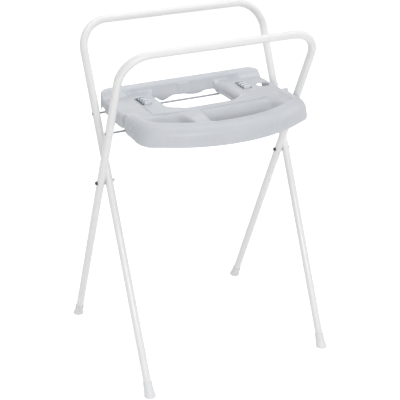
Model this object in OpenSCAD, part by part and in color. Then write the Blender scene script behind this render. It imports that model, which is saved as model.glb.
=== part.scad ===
// Folding baby bath stand: two crossed tube frames and a moulded tray that hooks over
// their cross rods and holds the legs apart. The user stands on the -Y side.
// Origin on the floor below the middle of the pivot axis, +Z up.

/* [Stand] */
// Height from the floor to the top of the bars
stand_h = 980; // [900:1:1050]
// Distance between the leg centre lines of one frame
frame_w = 572; // [560:1:620]
// Lean of each frame from the vertical, in degrees
lean = 24.5; // [22:0.5:27]
// Height of the pivot axis
pivot_h = 561; // [540:1:580]
// Centre-line radius of the tube bends
bend_r = 80; // [50:1:110]

/* [Tube] */
// Outside diameter of the frame tube
tube_d = 22; // [20:0.5:24]
// Wall of the frame tube
tube_wall = 1.2; // [0.8:0.1:2]

/* [Pivots] */
// Thickness of the spacer between two crossing tubes
spacer_t = 3; // [2.6:0.1:5]
// Outside diameter of the spacer
spacer_d = 16; // [13:0.5:20]
// Shank diameter of the pivot bolt
bolt_d = 6; // [5:0.5:8]
// Diameter of the domed bolt head
head_d = 11; // [10:0.5:16]
// Height of the bolt head, and of the nut with the bolt's end
head_h = 6; // [5:0.5:8]
// Width of the nut across its flats
nut_af = 10; // [9.5:0.5:13]

/* [Rods] */
// Diameter of the cross rods
rod_d = 5; // [4:0.5:6]
// Height of the rod centres above the floor
rod_h = 735; // [725:1:750]
// Diameter of the peened rod ends
rivet_d = 9; // [7:0.5:12]
// Height of the peened rod ends
rivet_h = 1.8; // [1:0.1:2.2]

/* [Feet] */
// Length of the foot sleeve along the leg
foot_len = 40; // [32:1:50]
// Wall of the foot sleeve
foot_wall = 2; // [1.5:0.1:3]
// Diameter of the foot where it meets the floor
foot_base_d = 33; // [30:0.5:38]
// Plastic under the end of the tube, along the leg
foot_sole = 9; // [7:0.5:12]

/* [Tray] */
// Width of the tray
tray_w = 498; // [484:1:504]
// Distance from the pivot plane to the front edge of the tray
tray_front = 273; // [262:1:282]
// Distance from the pivot plane to the rear edge of the tray
tray_back = 128; // [122:1:134]
// Radius of the bowed front edge
front_r = 403.35; // [380:0.05:460]
// Radius of the front corners
corner_r = 60; // [52:1:72]
// Radius of the rear corners
rear_corner_r = 36; // [30:1:42]
// Wall of the moulding
wall = 3; // [2.4:0.1:3.6]
// Height of the side deck above the rod centres
deck_rise = 35; // [33:1:40]
// Height of the front rim above the side deck
rim_rise = 12; // [9:1:16]
// Height of the rear bead above the side deck
bead_rise = 20; // [14:1:24]
// Depth of the rear bead from back to front
bead_t = 36; // [32:1:40]
// Half length of the bead's upright inner wall
bead_half = 180; // [174:1:190]
// Run of the slope from the bead down to the deck at both ends
bead_ramp = 12; // [8:1:16]
// Height of the bath platform above the side deck
platform_rise = 3; // [2:0.5:5]
// Half width of the bath platform
platform_half = 174; // [173:1:180]
// Distance from the pivot plane to the front edge of the platform
platform_front = 102; // [97:1:104]
// Radius of the platform's bowed front edge
platform_r = 1080; // [900:10:1500]
// Distance from the pivot plane to the start of the raised front rim
rim_start = 94; // [91:1:97]
// Run of the slope from the side deck up to the front rim
rim_ramp = 28; // [10:1:30]
// Width of the raised rim along the sides
rim_w = 35; // [30:1:38]
// Width of the rim in front of the troughs
front_rim_w = 41; // [34:1:48]
// Radius of the rounded upper edge
edge_r = 9; // [6:0.5:10]
// Draft of the skirt: how far it leans inwards for each unit of height
draft = 0.04; // [0.02:0.01:0.06]
// Distance from the rod centres up to the skirt's lower edge at the sides and the back
skirt_gap = 2; // [1.5:0.5:4]
// How much deeper the skirt is round the front
front_drop = 11; // [6:1:14]

/* [Opening] */
// Half width of the central opening
open_half = 107; // [98:1:110]
// Half width of the opening at its rear corners
open_rear_half = 98; // [85:1:104]
// Distance from the pivot plane to the front of the opening
open_front = 80; // [60:1:82]
// Radius of the opening's front corners
open_r = 45; // [30:1:55]
// Distance from the pivot plane back to where the sides draw in
open_knee = 40; // [20:1:50]
// Depth of the collar round the opening below the side deck
collar_drop = 22; // [16:1:24]
// Width of the moulded rib on the rear wall
rear_rib_w = 30; // [20:1:40]

/* [Troughs] */
// Depth of the troughs below the front rim
trough_depth = 32; // [26:1:34]
// Distance from the pivot plane to the upper back edge of the troughs
trough_back = 94; // [92:1:98]
// Run of the troughs' sloping back
trough_slope = 54; // [48:1:58]
// Left end of the short trough
short_x0 = -214; // [-216:1:-195]
// Right end of the short trough
short_x1 = -98; // [-110:1:-94]
// Left end of the long trough
long_x0 = -52; // [-60:1:-46]
// Right end of the long trough
long_x1 = 194; // [186:1:200]
// Corner radius of the troughs at the rim
trough_r = 16; // [14:1:18]

/* [Hand hole] */
// Sideways place of the hand hole
hand_x = 217; // [214:1:219]
// Place of the hand hole along the tray
hand_y = 10; // [0:1:20]
// Diameter of the hand hole
hand_d = 36; // [28:0.5:36]

/* [Catches] */
// Distance from the middle to a catch's inner face
catch_x = 146; // [143:0.5:148]
// Thickness of a catch
catch_t = 19; // [18:0.5:20]
// Length of a catch along the tray
catch_len = 61; // [54:1:64]
// Place of the catches' middle along the tray
catch_y = 18; // [8:1:22]
// Height of a catch above the side deck
catch_rise = 12; // [9:0.5:15]
// Travel of a catch
catch_travel = 6; // [4:0.5:6.5]
// Wall of a catch
catch_wall = 2.5; // [2:0.1:2.8]
// Wire of the catch spring
wire_d = 0.8; // [0.6:0.1:0.9]
// Outside diameter of the catch spring
spring_d = 7; // [6:0.5:8]
// Active turns of the catch spring
spring_turns = 4; // [3:1:4]

/* [Hidden] */
$fn = 72;

run_gap = 0.05;       // radial clearance of shafts in their holes
slip_gap = 0.1;       // radial clearance of the feet on the tube and of the clips on the rod
slide_gap = 0.5;      // clearance round the sliding catches
cut = 1;              // how far cutters run past a face
tube_r = tube_d / 2;
frame_shift = (tube_d + spacer_t) / 2;   // sideways offset of each frame from the middle
leg_up = (stand_h - tube_r - pivot_h) / cos(lean);
leg_down = pivot_h / cos(lean);
rod_up = (rod_h - pivot_h) / cos(lean);
rod_y = (rod_h - pivot_h) * tan(lean);
pivot_stack = 2 * tube_d + spacer_t;

// tray heights
skirt_z = rod_h + skirt_gap;
front_z = skirt_z - front_drop;
deck_z = rod_h + deck_rise;
rim_z = deck_z + rim_rise;
bead_z = deck_z + bead_rise;
platform_z = deck_z + platform_rise;
collar_z = deck_z - collar_drop;

// tray outline at the front skirt's lower edge; the skirt leans inwards from there
half_w = tray_w / 2;
front_y = -tray_front;
back_y = tray_back;
core_in = edge_r + draft * (rim_z - edge_r - front_z);   // a form's flat core starts here
lap = 1;                           // overlap of a core and its edge
inner_drop = 14;                   // how far the inner forms run on below the skirt
arc_y = front_y + front_r;
corner_x = half_w - corner_r;
arc_half = asin(corner_x / (front_r - corner_r));
corner_y = arc_y - (front_r - corner_r) * cos(arc_half);
rear_x = half_w - rear_corner_r;
rear_y = back_y - rear_corner_r;
bead_front = back_y - bead_t;
bead_foot = bead_front - bead_ramp;   // where the bead's ends meet the deck
rim_foot = rim_ramp - rim_start;      // where the side rims meet the deck
skirt_run = 12;                    // run of the step in the skirt's lower edge

// grooves, rod clips and rod passages of the tray
groove_r = 14;
groove_depth = 5;
groove_dy = 33;                    // from the start of the rim to the middle of a groove
clip_len = 14;
clip_xs = [-206, -124, 124, 206];
rib_proud = 2.5;
short_fade = [40, 16];             // how far a trough's ends draw in down to its floor
long_fade = [6, 40];
apron = [[-98, deck_z - 12], [-98, collar_z], [-84, collar_z], [-74, collar_z - 8],
         [-65, collar_z - 12], [-56, collar_z - 10], [-45, collar_z - 5], [-30, collar_z + 1],
         [-8, collar_z + 2], [2, collar_z], [14, collar_z - 4], [30, collar_z - 6],
         [46, collar_z - 7], [57, collar_z - 5], [70, collar_z], [84, collar_z + 2],
         [98, collar_z], [98, deck_z - 12]];   // wavy lower edge of the rear inner wall
notch_len = 24;
notch_front = 10;                  // from the rear rod forwards to the passage's edge
notch_w = 30;
notch_z = rod_h + 13;

// catches, keepers and their screws
screw_d = 3;
screw_len = 6;
keeper_t = 2.5;
flange_t = 3;
flange_w = 5;
catch_low = deck_z - wall - 2 * slide_gap - flange_t - 4;   // lower edge of the catch
keeper_z = catch_low - slide_gap;                            // upper face of the keeper
post_t = 2.5;
post_x = catch_x + catch_t - catch_wall - slide_gap - post_t;
spring_y = catch_y;
spring_z = keeper_z + 5.5;
spring_len = post_x - catch_x - catch_wall;
screw_dy = catch_len / 2 + 9;

DARK = "#303234";
WHITE = "#f4f5f5";
GREY = "#c9ced6";
STEEL = "#b9bcc0";

// ---- frames -------------------------------------------------------------------------

// side +1 places the rear frame, whose top leans back; -1 places the front frame
module frame_place(side) {
    translate([side * frame_shift, 0, pivot_h]) rotate([-side * lean, 0, 0]) children();
}

module tube_ring() {
    difference() {
        circle(tube_r);
        circle(tube_r - tube_wall);
    }
}

// bent tube in its own plane, with the pivot axis through the origin
module u_tube() {
    straight = frame_w / 2 - bend_r;
    for (side = [-1, 1])
        translate([side * frame_w / 2, 0, leg_up - bend_r]) mirror([0, 0, 1])
            linear_extrude(leg_up - bend_r + leg_down - foot_sole) tube_ring();
    for (side = [0, 1]) mirror([side, 0, 0])
        translate([straight, 0, leg_up - bend_r]) rotate([90, 0, 0])
            rotate_extrude(angle = 90) translate([bend_r, 0]) tube_ring();
    translate([-straight, 0, leg_up]) rotate([0, 90, 0])
        linear_extrude(2 * straight) tube_ring();
}

module cross_hole(x, z, d) {
    translate([x, 0, z]) rotate([0, 90, 0])
        cylinder(d = d, h = tube_d + 2 * cut, center = true);
}

module frame_tube(side) {
    color(WHITE) frame_place(side) difference() {
        u_tube();
        for (x = [-frame_w / 2, frame_w / 2]) {
            cross_hole(x, 0, bolt_d + 2 * run_gap);
            cross_hole(x, rod_up, rod_d + 2 * run_gap);
        }
    }
}

// cap on the end of a leg: side as for the frame, end -1 left or +1 right
module foot(side, end) {
    sleeve_r = tube_r + foot_wall;
    base_r = foot_base_d / 2;
    toe = base_r * tan(lean) + cut;
    flare_top = 0.6 * foot_len;
    lip = 1;
    color(WHITE) difference() {
        frame_place(side) translate([end * frame_w / 2, 0, -leg_down]) difference() {
            rotate_extrude() {
                polygon([[0, -toe], [base_r, -toe], [base_r, 0], [sleeve_r + 1, flare_top / 2],
                         [sleeve_r, flare_top], [sleeve_r, foot_len - lip], [0, foot_len - lip]]);
                square([sleeve_r - lip, foot_len]);
                translate([sleeve_r - lip, foot_len - lip]) circle(lip);
            }
            translate([0, 0, foot_sole]) cylinder(r = tube_r + slip_gap, h = foot_len);
        }
        translate([0, 0, -stand_h / 2]) cube([2 * frame_w, 2 * stand_h, stand_h], center = true);
    }
}

// ---- rods and pivots ------------------------------------------------------------------

// domed cap of a given diameter and height, standing on the XY plane
module dome(d, h) {
    rim = h / 3;
    r = (d * d / 4 + (h - rim) * (h - rim)) / (2 * (h - rim));
    rotate_extrude() {
        square([d / 2, rim]);
        intersection() {
            translate([0, h - r]) circle(r);
            square([d / 2, h]);
        }
    }
}

module cross_rod(side) {
    length = frame_w + tube_d;
    color(STEEL) frame_place(side) translate([0, 0, rod_up]) {
        rotate([0, 90, 0]) cylinder(d = rod_d, h = length, center = true);
        for (end = [-90, 90]) rotate([0, end, 0])
            translate([0, 0, length / 2]) dome(rivet_d, rivet_h);
    }
}

module pivot_place(side) {
    translate([side * frame_w / 2, 0, pivot_h]) rotate([0, 90, 0]) children();
}

module pivot_bolt(side) {
    color(DARK) pivot_place(side) {
        translate([0, 0, -pivot_stack / 2]) cylinder(d = bolt_d, h = pivot_stack + head_h);
        translate([0, 0, -pivot_stack / 2]) mirror([0, 0, 1]) dome(head_d, head_h);
    }
}

module pivot_nut(side) {
    nut_h = head_h - 1;
    color(STEEL) pivot_place(side) translate([0, 0, pivot_stack / 2]) difference() {
        cylinder(d = nut_af / cos(30), h = nut_h, $fn = 6);
        translate([0, 0, -cut]) cylinder(d = bolt_d + 2 * run_gap, h = nut_h + 2 * cut);
    }
}

module pivot_spacer(side) {
    color(DARK) pivot_place(side) difference() {
        cylinder(d = spacer_d, h = spacer_t, center = true);
        cylinder(d = bolt_d + 2 * run_gap, h = spacer_t + 2 * cut, center = true);
    }
}

// ---- tray shell -------------------------------------------------------------------------

function form_low(low, inset) = low - (inset > 0 ? inner_drop : 0);
function lean_in(z) = draft * (z - front_z);

// section of the skirt and its rounded upper edge; x = 0 is the outline, and inset is the
// wall taken off for an inner form
module edge_section(low, top_z, inset) {
    shoulder = top_z - edge_r;
    centre = -lean_in(shoulder) - edge_r;
    polygon([[centre - lap, low], [-lean_in(low) - inset, low],
             [-lean_in(shoulder) - inset, shoulder], [centre - lap, shoulder]]);
    intersection() {
        translate([centre, shoulder]) circle(edge_r - inset);
        translate([centre, shoulder]) square(edge_r);
    }
    translate([centre - lap, shoulder - lap]) square([lap, edge_r - inset + lap]);
}

// front part of the outline without its rounded edge
module front_core() {
    sector = 2 * front_r;
    half = arc_half + 0.5;         // runs a little into the corners
    intersection() {
        translate([0, arc_y]) circle(front_r - core_in, $fn = 240);
        polygon([[0, arc_y], [-sector * sin(half), arc_y - sector * cos(half)],
                 [sector * sin(half), arc_y - sector * cos(half)]]);
        translate([-half_w, front_y]) square([tray_w, tray_front + rim_foot]);
    }
    for (side = [-1, 1]) translate([side * corner_x, corner_y]) circle(corner_r - core_in);
    translate([-half_w + core_in, corner_y])
        square([tray_w - 2 * core_in, rim_foot - corner_y]);
}

// front block up to the rim, all round at its full height and depth
module front_block(inset) {
    low = form_low(front_z, inset);
    translate([0, 0, low]) linear_extrude(rim_z - inset - low) front_core();
    run_x = 2 * corner_x;
    run_y = 2 * (corner_y - arc_y);
    intersection() {
        translate([0, arc_y, 0]) rotate_extrude($fn = 240)
            translate([front_r, 0]) edge_section(low, rim_z, inset);
        translate([0, 0, low - cut]) linear_extrude(stand_h)
            polygon([[0, arc_y], [-run_x, arc_y + run_y], [run_x, arc_y + run_y]]);
    }
    for (side = [0, 1]) mirror([side, 0, 0]) intersection() {
        translate([corner_x, corner_y, 0]) rotate_extrude()
            translate([corner_r, 0]) edge_section(low, rim_z, inset);
        translate([0, 0, low - cut]) linear_extrude(stand_h)
            polygon([[corner_x, corner_y], [corner_x + run_x, corner_y + run_y],
                     [corner_x + run_x, corner_y]]);
    }
    for (side = [0, 1]) mirror([side, 0, 0])
        translate([half_w, rim_foot, 0]) rotate([90, 0, 0])
            linear_extrude(rim_foot - corner_y) edge_section(low, rim_z, inset);
}

// profile along Y, drawn with Y to the right and Z up, across the whole tray
module across(half) {
    translate([-half, 0, 0]) rotate([90, 0, 90]) linear_extrude(2 * half) children();
}

// the front block sloped down to the deck, and stepped up to the side skirts
module front_form(inset) {
    low = form_low(front_z, inset);
    skirt_low = form_low(skirt_z, inset);
    intersection() {
        front_block(inset);
        across(half_w + cut) polygon([
            [front_y - cut, low - cut], [-rim_start - skirt_run, low - cut],
            [-rim_start, skirt_low], [rim_foot, skirt_low], [rim_foot, deck_z - inset],
            [-rim_start, rim_z - inset + cut / 2], [front_y - cut, rim_z + cut]]);
    }
}

// the part of the tray with straight sides, between the rim and the bead
module middle_form(inset) {
    low = form_low(skirt_z, inset);
    translate([0, bead_foot, 0]) rotate([90, 0, 0]) linear_extrude(bead_foot - rim_foot) {
        translate([core_in - half_w, low])
            square([tray_w - 2 * core_in, deck_z - inset - low]);
        for (side = [0, 1]) mirror([side, 0]) translate([half_w, 0])
            edge_section(low, deck_z, inset);
    }
}

// rear block up to the bead, all round at its full height
module rear_block(inset) {
    low = form_low(skirt_z, inset);
    translate([0, 0, low]) linear_extrude(bead_z - inset - low) {
        translate([core_in - half_w, bead_foot])
            square([tray_w - 2 * core_in, rear_y - bead_foot]);
        translate([-rear_x, bead_foot]) square([2 * rear_x, back_y - core_in - bead_foot]);
        for (side = [-1, 1]) translate([side * rear_x, rear_y]) circle(rear_corner_r - core_in);
    }
    for (side = [0, 1]) mirror([side, 0, 0]) {
        translate([half_w, rear_y, 0]) rotate([90, 0, 0])
            linear_extrude(rear_y - bead_foot) edge_section(low, bead_z, inset);
        translate([rear_x, rear_y, 0]) rotate_extrude(angle = 90)
            translate([rear_corner_r, 0]) edge_section(low, bead_z, inset);
    }
    translate([-rear_x, back_y, 0]) rotate([90, 0, 90])
        linear_extrude(2 * rear_x) edge_section(low, bead_z, inset);
}

// profile of the deck and the bead behind it, drawn in Y and Z
module bead_profile(inset) {
    low = form_low(skirt_z, inset) - cut;
    shoulder = bead_z - edge_r;
    rear = back_y + cut;
    polygon([[bead_foot, low], [rear, low], [rear, shoulder], [bead_front + inset, shoulder],
             [bead_front + inset, deck_z - inset], [bead_foot, deck_z - inset]]);
    translate([bead_front + edge_r, shoulder]) circle(edge_r - inset);
    translate([bead_front + edge_r, shoulder - lap])
        square([rear - bead_front - edge_r, edge_r - inset + lap]);
}

// raised bead along the rear edge and round both rear corners, with an upright inner wall
// that gives way to a slope at both ends
module rear_form(inset) {
    low = form_low(skirt_z, inset) - cut;
    slope_in = 0.4 * inset;
    rear = back_y + cut;
    intersection() {
        rear_block(inset);
        union() {
            across(half_w + cut) bead_profile(inset);
            for (side = [0, 1]) mirror([side, 0, 0])
                translate([bead_half + inset, 0, 0]) rotate([90, 0, 90]) linear_extrude(half_w)
                    polygon([[bead_foot + slope_in, deck_z - inset - lap],
                             [bead_foot + slope_in, deck_z - inset],
                             [bead_front + edge_r + slope_in, bead_z - inset],
                             [rear - cut / 2, bead_z - inset],
                             [rear - cut / 2, deck_z - inset - lap]]);
        }
    }
}

// sloping floor between the side rims, from the deck up to the front rim
module dish(inset) {
    front = front_y + front_rim_w;
    intersection() {
        across(half_w - rim_w + inset)
            polygon([[front, rim_z - inset], [-rim_start - inset, deck_z - inset],
                     [rim_foot + cut, deck_z - inset], [rim_foot + cut, bead_z],
                     [front, bead_z]]);
        translate([0, arc_y, collar_z])
            cylinder(r = front_r - front_rim_w + inset, h = bead_z, $fn = 240);
    }
}

module platform_form(inset) {
    back = back_y - bead_t / 2;
    translate([0, 0, deck_z - inset - cut]) linear_extrude(platform_rise + cut)
        intersection() {
            translate([-platform_half + inset, -platform_front])
                square([2 * (platform_half - inset), back + platform_front]);
            translate([0, platform_r - platform_front]) circle(platform_r - inset, $fn = 720);
        }
}

// shallow upright grooves on both sides, before and behind the start of the rim
module side_grooves(inset) {
    low = front_z - inner_drop - cut;
    for (side = [-1, 1], y = [groove_dy - rim_start, -groove_dy - rim_start])
        translate([side * (half_w + groove_r - groove_depth), y, low])
            cylinder(r = groove_r + inset, h = deck_z - edge_r - low);
}

module tray_form(inset) {
    difference() {
        union() {
            difference() {
                front_form(inset);
                dish(inset);
            }
            middle_form(inset);
            rear_form(inset);
            platform_form(inset);
        }
        side_grooves(inset);
    }
}

// trough cutter with a long sloping back; fade draws its ends in towards the floor, and
// grow thickens it into the tub below the deck
module trough(x0, x1, fade, grow) {
    steps = 5;
    reach = front_r - front_rim_w + 1.5 - trough_r;
    floor_z = rim_z - trough_depth;
    levels = [[rim_z + (grow > 0 ? -cut : cut), 0, 0],
              [floor_z + 9 - grow, 3, 0.65], [floor_z - grow, 9, 1]];
    hull() for (level = levels) {
        r = trough_r + grow - level[1];
        x_in = [x0 + trough_r + level[2] * fade[0], x1 - trough_r - level[2] * fade[1]];
        back = -trough_back - trough_r - level[2] * trough_slope;
        for (x = x_in) translate([x, back, level[0]]) cylinder(r = r, h = 0.01, $fn = 32);
        for (i = [0:steps]) {
            x = x_in[0] + (x_in[1] - x_in[0]) * i / steps;
            translate([x, arc_y - sqrt(reach * reach - x * x), level[0]])
                cylinder(r = r, h = 0.01, $fn = 32);
        }
    }
}

module troughs(grow) {
    trough(short_x0, short_x1, short_fade, grow);
    trough(long_x0, long_x1, long_fade, grow);
}

// outline of the central opening, grown by a wall for its collar
module opening(grow) {
    knee_y = -open_front + open_r;
    rear = bead_front + (grow > 0 ? wall : 0);
    for (side = [-1, 1]) translate([side * (open_half - open_r), knee_y]) circle(open_r + grow);
    translate([-open_half + open_r, -open_front - grow])
        square([2 * (open_half - open_r), open_r + 2 * grow]);
    polygon([[-open_half - grow, knee_y], [open_half + grow, knee_y],
             [open_half + grow, open_knee], [open_rear_half + grow, rear],
             [-open_rear_half - grow, rear], [-open_half - grow, open_knee]]);
}

// clip that snaps over the front rod; open at the bottom by less than the rod
module rod_clip(x) {
    body_r = rod_d / 2 + 3.5;
    mouth = 0.8 * rod_d;
    translate([x, -rod_y, rod_h]) rotate([0, 90, 0]) difference() {
        union() {
            cylinder(r = body_r, h = clip_len, center = true);
            translate([-deck_rise - platform_rise, -body_r, -clip_len / 2])
                cube([deck_rise + platform_rise, 2 * body_r, clip_len]);
        }
        cylinder(d = rod_d + 2 * slip_gap, h = clip_len + 2 * cut, center = true);
        translate([0, -mouth / 2, -clip_len / 2 - cut])
            cube([2 * body_r, mouth, clip_len + 2 * cut]);
    }
}

// hook that drops over the rear rod: its long rear leg holds the frames from spreading
module rod_hook(x) {
    seat_r = rod_d / 2 + slip_gap;
    leg = 4.5;
    lip_z = 1.6;
    translate([x - clip_len / 2, rod_y, rod_h]) rotate([90, 0, 90])
        linear_extrude(clip_len) difference() {
            translate([-seat_r - leg, -rod_d])
                square([2 * (seat_r + leg), deck_rise + platform_rise + rod_d]);
            circle(seat_r);
            translate([-seat_r - leg - cut, -rod_d - cut])
                square([2 * seat_r + leg + cut, rod_d + cut]);
            translate([-seat_r - leg - cut, -cut]) square([leg + seat_r + cut, lip_z + cut]);
        }
}

// stiffening ribs under the deck, from the collar to the skirt
module deck_ribs() {
    rib_t = 2.2;
    for (side = [-1, 1], y = [catch_y - screw_dy, catch_y + screw_dy])
        translate([side > 0 ? open_half : -half_w, y - rib_t / 2, keeper_z])
            cube([half_w - open_half, rib_t, platform_z - keeper_z]);
}

// ribs under the deck, with the pillars that take the keeper screws
module keeper_mounts() {
    difference() {
        union() {
            deck_ribs();
            for (side = [-1, 1]) for (p = screw_places())
                translate([side * p[0], p[1], keeper_z])
                    cylinder(d = 8, h = platform_z - keeper_z);
        }
        for (side = [-1, 1]) for (p = screw_places())
            translate([side * p[0], p[1], keeper_z - cut])
                cylinder(d = screw_d + 2 * run_gap, h = screw_len + cut);
    }
}

// slot in the deck for one catch, on the +X side
module catch_slot() {
    translate([catch_x - slide_gap, catch_y - catch_len / 2 - slide_gap, keeper_z])
        cube([catch_t + catch_travel + 2 * slide_gap, catch_len + 2 * slide_gap, deck_rise]);
}

// everything moulded under the deck, cut to fit inside the skin
module underside() {
    intersection() {
        union() {
            translate([0, 0, collar_z]) linear_extrude(bead_z - collar_z) opening(wall);
            for (x = clip_xs) rod_clip(x);
            for (x = clip_xs) rod_hook(x);
            keeper_mounts();
        }
        tray_form(wall / 2);
    }
}

// passages for the two rods through the side walls, open at the bottom
module rod_passages() {
    for (side = [-1, 1]) translate([side * half_w, 0, 0]) {
        translate([-notch_len / 2, rod_y - notch_front, skirt_z - inner_drop])
            cube([notch_len, notch_w, notch_z - skirt_z + inner_drop]);
        translate([0, -rod_y, rod_h]) rotate([0, 90, 0])
            cylinder(d = rod_d + 4, h = notch_len, center = true);
    }
}

// shallow arch in the lower edge of the rear skirt
module rear_arch() {
    rise = 6;
    translate([0, back_y + cut, skirt_z]) rotate([90, 0, 0]) linear_extrude(bead_t / 2)
        polygon([[-rear_x + 12, -cut], [-rear_x + 30, rise], [rear_x - 30, rise],
                 [rear_x - 12, -cut]]);
}

module tray() {
    color(GREY) difference() {
        union() {
            difference() {
                tray_form(0);
                tray_form(wall);
            }
            difference() {
                troughs(wall);
                dish(0);
            }
            underside();
            translate([-rear_rib_w / 2, bead_front - rib_proud, collar_z])
                cube([rear_rib_w, rib_proud + wall / 2, bead_z - edge_r - collar_z]);
            translate([0, bead_front + wall, 0]) rotate([90, 0, 0])
                linear_extrude(wall) polygon(apron);
        }
        troughs(0);
        difference() {
            translate([0, 0, collar_z - cut]) linear_extrude(bead_z - collar_z) opening(0);
            translate([-rear_rib_w / 2, bead_front - rib_proud, 0])
                cube([rear_rib_w, bead_t, stand_h]);
        }
        translate([hand_x, hand_y, skirt_z]) cylinder(d = hand_d, h = deck_rise + cut);
        for (side = [0, 1]) mirror([side, 0, 0]) catch_slot();
        rod_passages();
        rear_arch();
    }
}

// ---- catches ------------------------------------------------------------------------------

function screw_places() = [for (s = [-1, 1]) [catch_x + catch_t / 2, catch_y + s * screw_dy]];

module catch_side(side) {
    mirror([side < 0 ? 1 : 0, 0, 0]) children();
}

// hollow catch with a sloped nose over the bath's edge and a flange under the deck
module bath_catch(side) {
    top = deck_z + catch_rise;
    low_top = top - 5;
    step_y = catch_y + catch_len / 6;
    nose = 3;
    inner = catch_t - 2 * catch_wall;
    color(GREY) catch_side(side) difference() {
        union() {
            translate([catch_x, catch_y + catch_len / 2, 0]) rotate([90, 0, 0])
                linear_extrude(catch_len)
                    polygon([[0, catch_low], [catch_t, catch_low], [catch_t, low_top - 2],
                             [catch_t - 2, low_top], [0, low_top]]);
            translate([catch_x, step_y, 0]) rotate([90, 0, 0])
                linear_extrude(step_y - catch_y + catch_len / 2)
                    polygon([[0, low_top - cut], [catch_t, low_top - cut], [catch_t, top - 3],
                             [catch_t - 3, top], [nose, top], [-nose, top - 3],
                             [-nose, top - 5], [0, top - 6.5]]);
            translate([catch_x - flange_w - 1, catch_y - catch_len / 2,
                       deck_z - wall - slide_gap - flange_t])
                cube([catch_t + 2 * flange_w, catch_len, flange_t]);
        }
        translate([catch_x + catch_wall, catch_y - catch_len / 2 + catch_wall, catch_low - cut])
            cube([inner, catch_len - 2 * catch_wall, low_top - catch_wall - catch_low + cut]);
    }
}

// cover under the deck with the post that backs the spring
module catch_keeper(side) {
    x0 = catch_x - flange_w;
    width = catch_t + flange_w + 6;
    length = 2 * screw_dy + 10;
    spigot_d = spring_d - 2 * wire_d - 1;
    color(GREY) catch_side(side) difference() {
        union() {
            translate([x0, catch_y - length / 2, keeper_z - keeper_t])
                cube([width, length, keeper_t]);
            translate([post_x, spring_y - 5, keeper_z - keeper_t])
                cube([post_t, 10, spring_z + 5 - keeper_z + keeper_t]);
            translate([post_x, spring_y, spring_z]) rotate([0, -90, 0])
                cylinder(d = spigot_d, h = 3.5);
        }
        for (p = screw_places()) translate([p[0], p[1], keeper_z - keeper_t - cut])
            cylinder(d = screw_d + 2 * run_gap, h = keeper_t + 2 * cut);
    }
}

module keeper_screws(side) {
    pan_d = 5.6;
    pan_h = 2;
    color(STEEL) catch_side(side) for (p = screw_places())
        translate([p[0], p[1], keeper_z - keeper_t]) {
            cylinder(d = screw_d, h = keeper_t + screw_len - cut);
            mirror([0, 0, 1]) dome(pan_d, pan_h);
        }
}

// ---- spring: one unbroken wire, swept by formula ---------------------------------------------

wire_sides = 6;
wire_rings = 12;      // rings in a turn
end_turns = 1;        // closed turn at each end
coil_r = (spring_d - wire_d) / 2;
end_pitch = wire_d + 0.45;
coil_len = spring_len - wire_d - 0.2;
open_pitch = (coil_len - 2 * end_turns * end_pitch) / spring_turns;

// place along the spring's axis after a number of turns
function coil_rise(t) =
    t < end_turns ? t * end_pitch :
    t < end_turns + spring_turns ? end_turns * end_pitch + (t - end_turns) * open_pitch :
    coil_len - (2 * end_turns + spring_turns - t) * end_pitch;

function coil_point(t) = [coil_rise(t), coil_r * cos(360 * t), coil_r * sin(360 * t)];

// ring of the wire's section, square to the helix's radial direction
function coil_ring(t) =
    let (out = [0, cos(360 * t), sin(360 * t)])
    [for (k = [0:wire_sides - 1])
        let (a = 360 * k / wire_sides)
        coil_point(t) + wire_d / 2 * (cos(a) * out + sin(a) * [1, 0, 0])];

module catch_spring(side) {
    turns = spring_turns + 2 * end_turns;
    n = turns * wire_rings;
    points = [for (i = [0:n]) each coil_ring(i / wire_rings)];
    m = wire_sides;
    faces = concat(
        [for (i = [0:n - 1], k = [0:m - 1])
            [i * m + k, i * m + (k + 1) % m, (i + 1) * m + k]],
        [for (i = [0:n - 1], k = [0:m - 1])
            [i * m + (k + 1) % m, (i + 1) * m + (k + 1) % m, (i + 1) * m + k]],
        [[for (k = [m - 1:-1:0]) k]],
        [[for (k = [0:m - 1]) n * m + k]]);
    color(STEEL) catch_side(side)
        translate([catch_x + catch_wall + wire_d / 2 + 0.1, spring_y, spring_z])
            polyhedron(points, faces);
}
echo(least_gap_between_spring_turns = min(end_pitch, open_pitch) - wire_d);

// ---- pieces --------------------------------------------------------------------------------

frame_tube(-1);  // front_frame_tube
foot(-1, -1);  // foot_rear_left
foot(-1, 1);  // foot_rear_right
cross_rod(-1);  // front_rod
pivot_bolt(-1);  // pivot_bolt_left
pivot_bolt(1);  // pivot_bolt_right
pivot_nut(-1);  // pivot_nut_left
pivot_nut(1);  // pivot_nut_right
pivot_spacer(-1);  // pivot_spacer_left
pivot_spacer(1);  // pivot_spacer_right
frame_tube(1);  // rear_frame_tube
foot(1, -1);  // foot_front_left
foot(1, 1);  // foot_front_right
cross_rod(1);  // rear_rod
tray();
bath_catch(-1);  // catch_left
bath_catch(1);  // catch_right
catch_spring(-1);  // catch_spring_left
catch_spring(1);  // catch_spring_right
catch_keeper(-1);  // catch_keeper_left
catch_keeper(1);  // catch_keeper_right
keeper_screws(-1);  // keeper_screws_left
keeper_screws(1);  // keeper_screws_right
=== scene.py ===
"""Folding baby bath stand: the finish of every surface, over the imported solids.

Metres, +Z up, floor at Z = 0, the user on the -Y side. The tubes are drawn again as smooth
sweeps, and the moulded pieces are skinned from their solids and softened as a mould does it.
"""

import math

import bmesh
import bpy
import numpy as np
from mathutils import Matrix, Vector


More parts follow.
